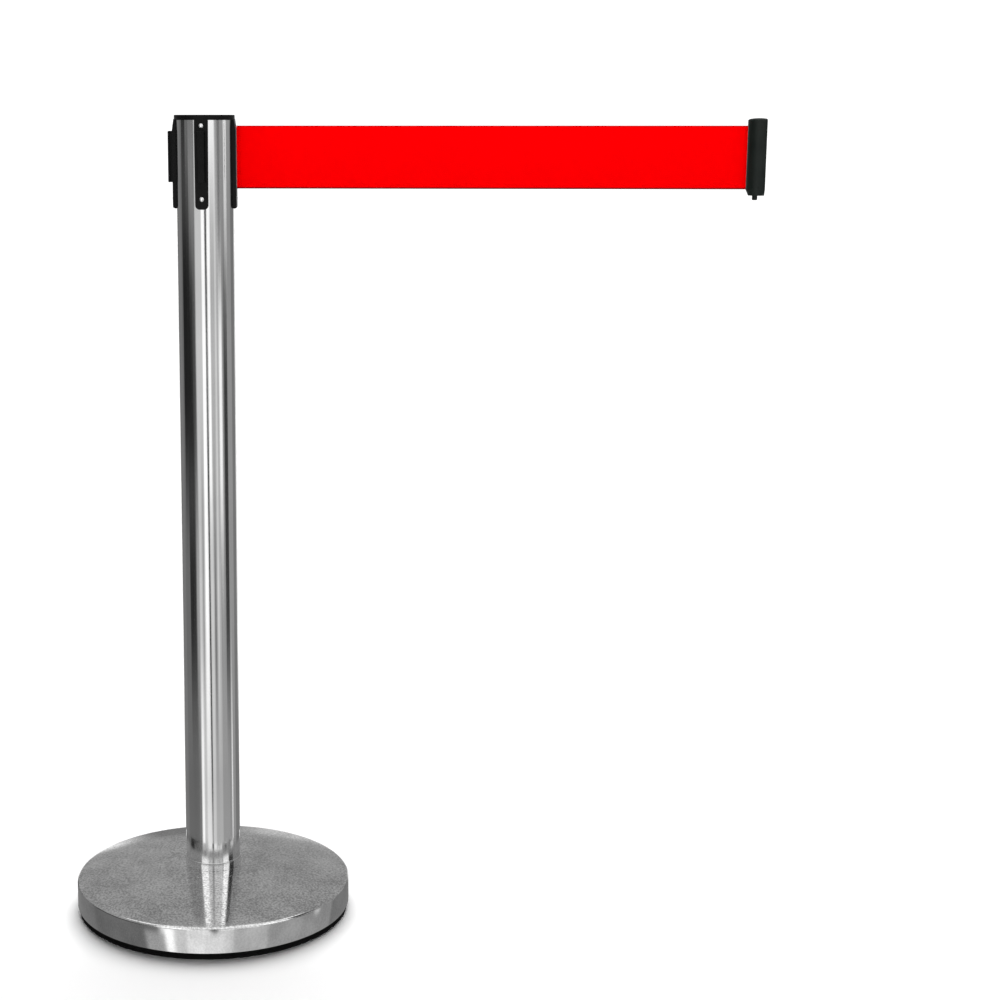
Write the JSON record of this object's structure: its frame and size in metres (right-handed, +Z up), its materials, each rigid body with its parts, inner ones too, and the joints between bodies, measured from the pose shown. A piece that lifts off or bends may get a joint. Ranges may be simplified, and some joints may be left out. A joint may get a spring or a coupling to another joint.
{
  "type": "retractable belt stanchion",
  "caption": "Round weighted base, polished tube post and a black head with legs and receiver rails; a wide red belt is drawn from a spring reel in the tube to a locking clip.",
  "frame": {"origin": "centre of the base on the floor, on the post's axis", "axes": "+Z up the post, +X the way the belt is drawn out, +Y completes a right-handed frame, so the pictured front faces -Y"},
  "size_m": [0.7715, 0.32, 0.92],
  "materials": {
    "post_steel": "polished stainless steel",
    "cover_steel": "satin stainless steel, lightly polished",
    "rubber": "matt black rubber",
    "cast_iron": "black painted casting",
    "head_plastic": "fine grained black moulding",
    "cassette_plastic": "plain black moulding",
    "clip_plastic": "green-black moulding",
    "nylon": "natural nylon",
    "screw_steel": "bright plated steel",
    "zinc_steel": "zinc plated steel",
    "spring_steel": "blued spring steel",
    "bronze": "sintered bronze",
    "felt": "grey felt",
    "belt_web": "woven red polyester webbing"
  },
  "bodies": {
    "stand": {"base_weight": "cast_iron", "base_ring": "rubber", "base_cover": "cover_steel", "foot_plug": "zinc_steel", "base_bolt": "zinc_steel", "base_washer": "zinc_steel", "lock_washer": "zinc_steel", "post_collar": "post_steel", "post_tube": "post_steel", "head_crown": "head_plastic", "receiver_rail_left": "head_plastic", "receiver_rail_front": "head_plastic", "receiver_rail_back": "head_plastic", "head_screws": "screw_steel", "cassette_plate_bottom": "cassette_plastic", "cassette_plate_top": "cassette_plastic", "cassette_drum": "cassette_plastic", "cassette_tie_screws": "zinc_steel", "belt_guide": "head_plastic", "spindle": "screw_steel", "spindle_clip": "spring_steel", "friction_washer": "felt", "spring_case": "nylon", "spring_case_lid": "nylon", "spring_case_screws": "zinc_steel", "power_spring": "spring_steel", "belt_lead": "belt_web"},
    "spool": {"spool": "nylon", "spool_flange": "nylon", "spool_bushing_upper": "bronze", "spool_bushing_lower": "bronze", "belt_anchor_pin": "zinc_steel", "belt_roll": "belt_web"},
    "clip": {"belt_span": "belt_web", "clip_body": "clip_plastic", "clip_cover": "clip_plastic", "clip_belt_pin": "zinc_steel", "clip_screws": "zinc_steel", "lock_springs": "spring_steel"},
    "lock_bolt": {"lock_bolt": "zinc_steel"},
    "release_button": {"release_button": "clip_plastic"}
  },
  "joints": [
    {"name": "belt_pull", "type": "slide", "parent": "stand", "child": "clip", "axis": [1, 0, 0], "range_m": [-0.5565, 1.4432], "deforming": ["belt_span"]},
    {"name": "spool_spin", "type": "hinge", "parent": "stand", "child": "spool", "pos_m": [0, 0, 0.874], "axis": [0, 0, 1], "continuous": true, "deforming": ["power_spring"]},
    {"name": "button_press", "type": "slide", "parent": "clip", "child": "release_button", "axis": [0, 0, 1], "range_m": [0, 0.0025], "stiffness_N_per_m": 400, "springref_m": -0.004},
    {"name": "lock_slide", "type": "slide", "parent": "clip", "child": "lock_bolt", "axis": [-1, 0, 0], "range_m": [0, 0.0025], "deforming": ["lock_springs"]}
  ],
  "couplings": [
    {"joint": "spool_spin", "follows": "belt_pull", "rad_per_m": 54.58},
    {"joint": "lock_slide", "follows": "button_press", "ratio": 1}
  ]
}
